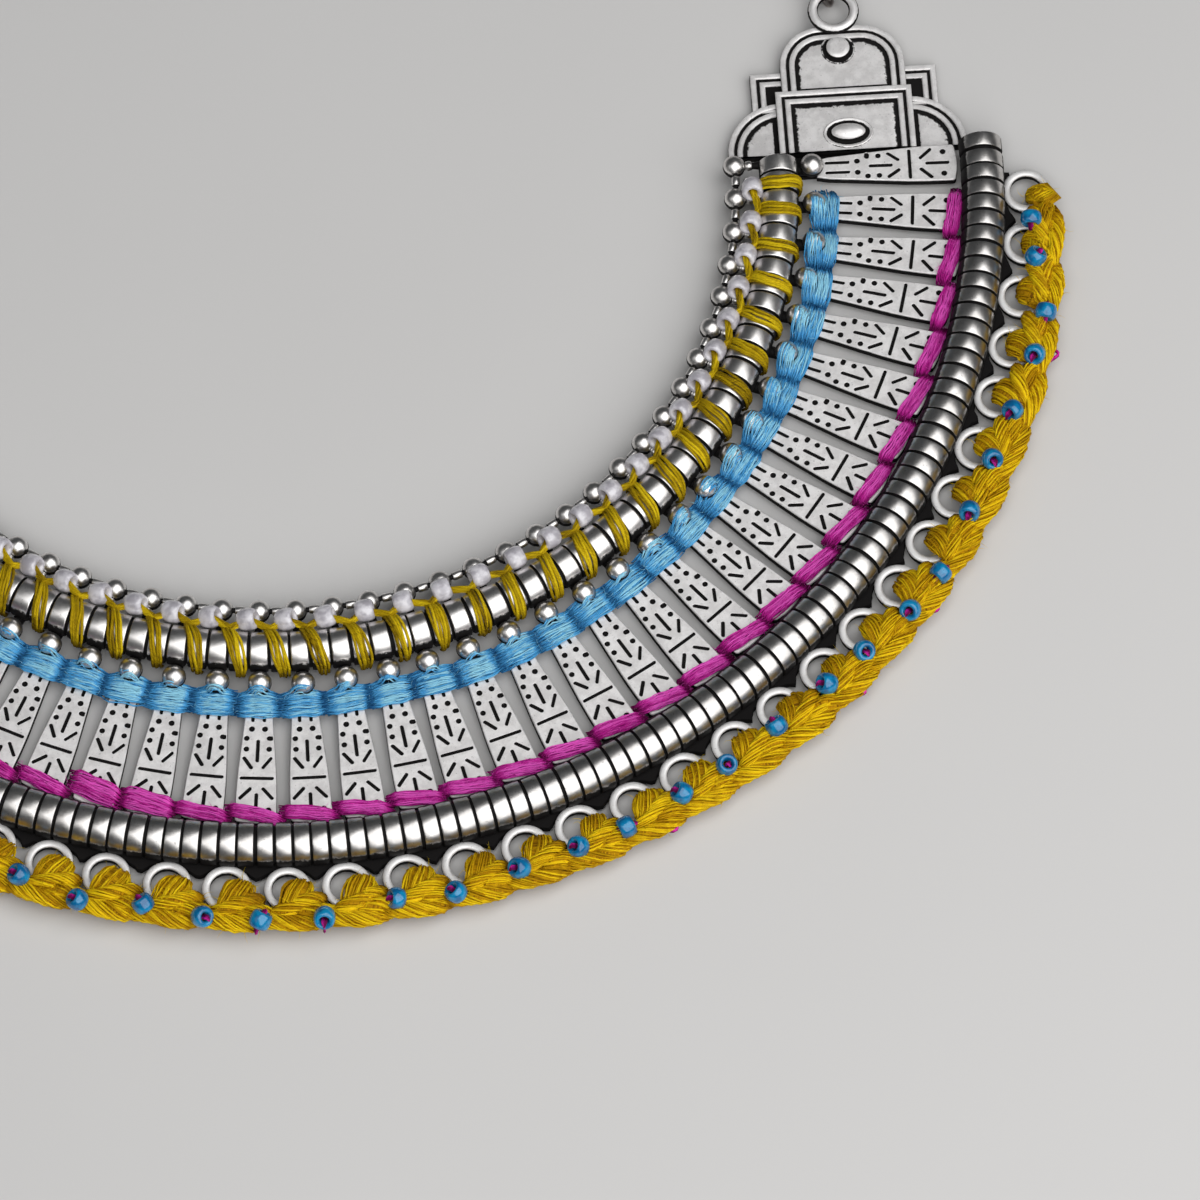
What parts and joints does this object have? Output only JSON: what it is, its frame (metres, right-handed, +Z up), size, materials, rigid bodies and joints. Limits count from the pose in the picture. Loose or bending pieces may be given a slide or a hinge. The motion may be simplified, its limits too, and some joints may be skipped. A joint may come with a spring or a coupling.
{
  "type": "choker necklace",
  "caption": "Stiff fan-shaped choker collar of antique silver wedges between two tubes, wound with thread, edged with crochet and beads, closed by a chain at the back of the neck.",
  "frame": {"origin": "middle of the necklace's bounding box on the surface that it lies on", "axes": "+Z up from that surface, +Y from the front of the collar to the clasp, +X towards the wearer's left hand"},
  "size_m": [0.2164, 0.1944, 0.0062],
  "materials": {
    "antique_silver": "oxidised silver plate, bright on the raised faces, near black in the recesses",
    "dark_metal": "dark oxidised wire, rubbed bright on top",
    "blue_floss": "mercerised cotton floss, soft sheen",
    "magenta_floss": "mercerised cotton floss, soft sheen",
    "gold_yarn": "plied cotton yarn, slightly fuzzy",
    "olive_floss": "mercerised cotton floss, soft sheen",
    "pearl_bead": "opaque pearl glass, glossy",
    "blue_bead": "opaque glass, glossy"
  },
  "bodies": {
    "root": {"wedge_01": "antique_silver", "wedge_02": "antique_silver", "wedge_03": "antique_silver", "wedge_04": "antique_silver", "wedge_05": "antique_silver", "wedge_06": "antique_silver", "wedge_07": "antique_silver", "wedge_08": "antique_silver", "wedge_09": "antique_silver", "wedge_10": "antique_silver", "wedge_11": "antique_silver", "wedge_12": "antique_silver", "wedge_13": "antique_silver", "wedge_14": "antique_silver", "wedge_15": "antique_silver", "wedge_16": "antique_silver", "wedge_17": "antique_silver", "wedge_18": "antique_silver", "wedge_19": "antique_silver", "wedge_20": "antique_silver", "wedge_21": "antique_silver", "wedge_22": "antique_silver", "wedge_23": "antique_silver", "wedge_24": "antique_silver", "wedge_25": "antique_silver", "wedge_26": "antique_silver", "wedge_27": "antique_silver", "wedge_28": "antique_silver", "wedge_29": "antique_silver", "wedge_30": "antique_silver", "wedge_31": "antique_silver", "wedge_32": "antique_silver", "wedge_33": "antique_silver", "wedge_34": "antique_silver", "wedge_35": "antique_silver", "wedge_36": "antique_silver", "wedge_37": "antique_silver", "wedge_38": "antique_silver", "wedge_39": "antique_silver", "wedge_40": "antique_silver", "wedge_41": "antique_silver", "inner_tube": "antique_silver", "outer_tube": "antique_silver", "end_plate_right": "antique_silver", "end_plate_left": "antique_silver", "chain_right_1": "dark_metal", "chain_right_2": "dark_metal", "chain_right_3": "dark_metal", "chain_left_1": "dark_metal", "chain_left_2": "dark_metal", "chain_left_3": "dark_metal", "clasp": "dark_metal", "blue_thread": "blue_floss", "magenta_thread": "magenta_floss", "crochet_edge": "gold_yarn"}
  },
  "joints": []
}
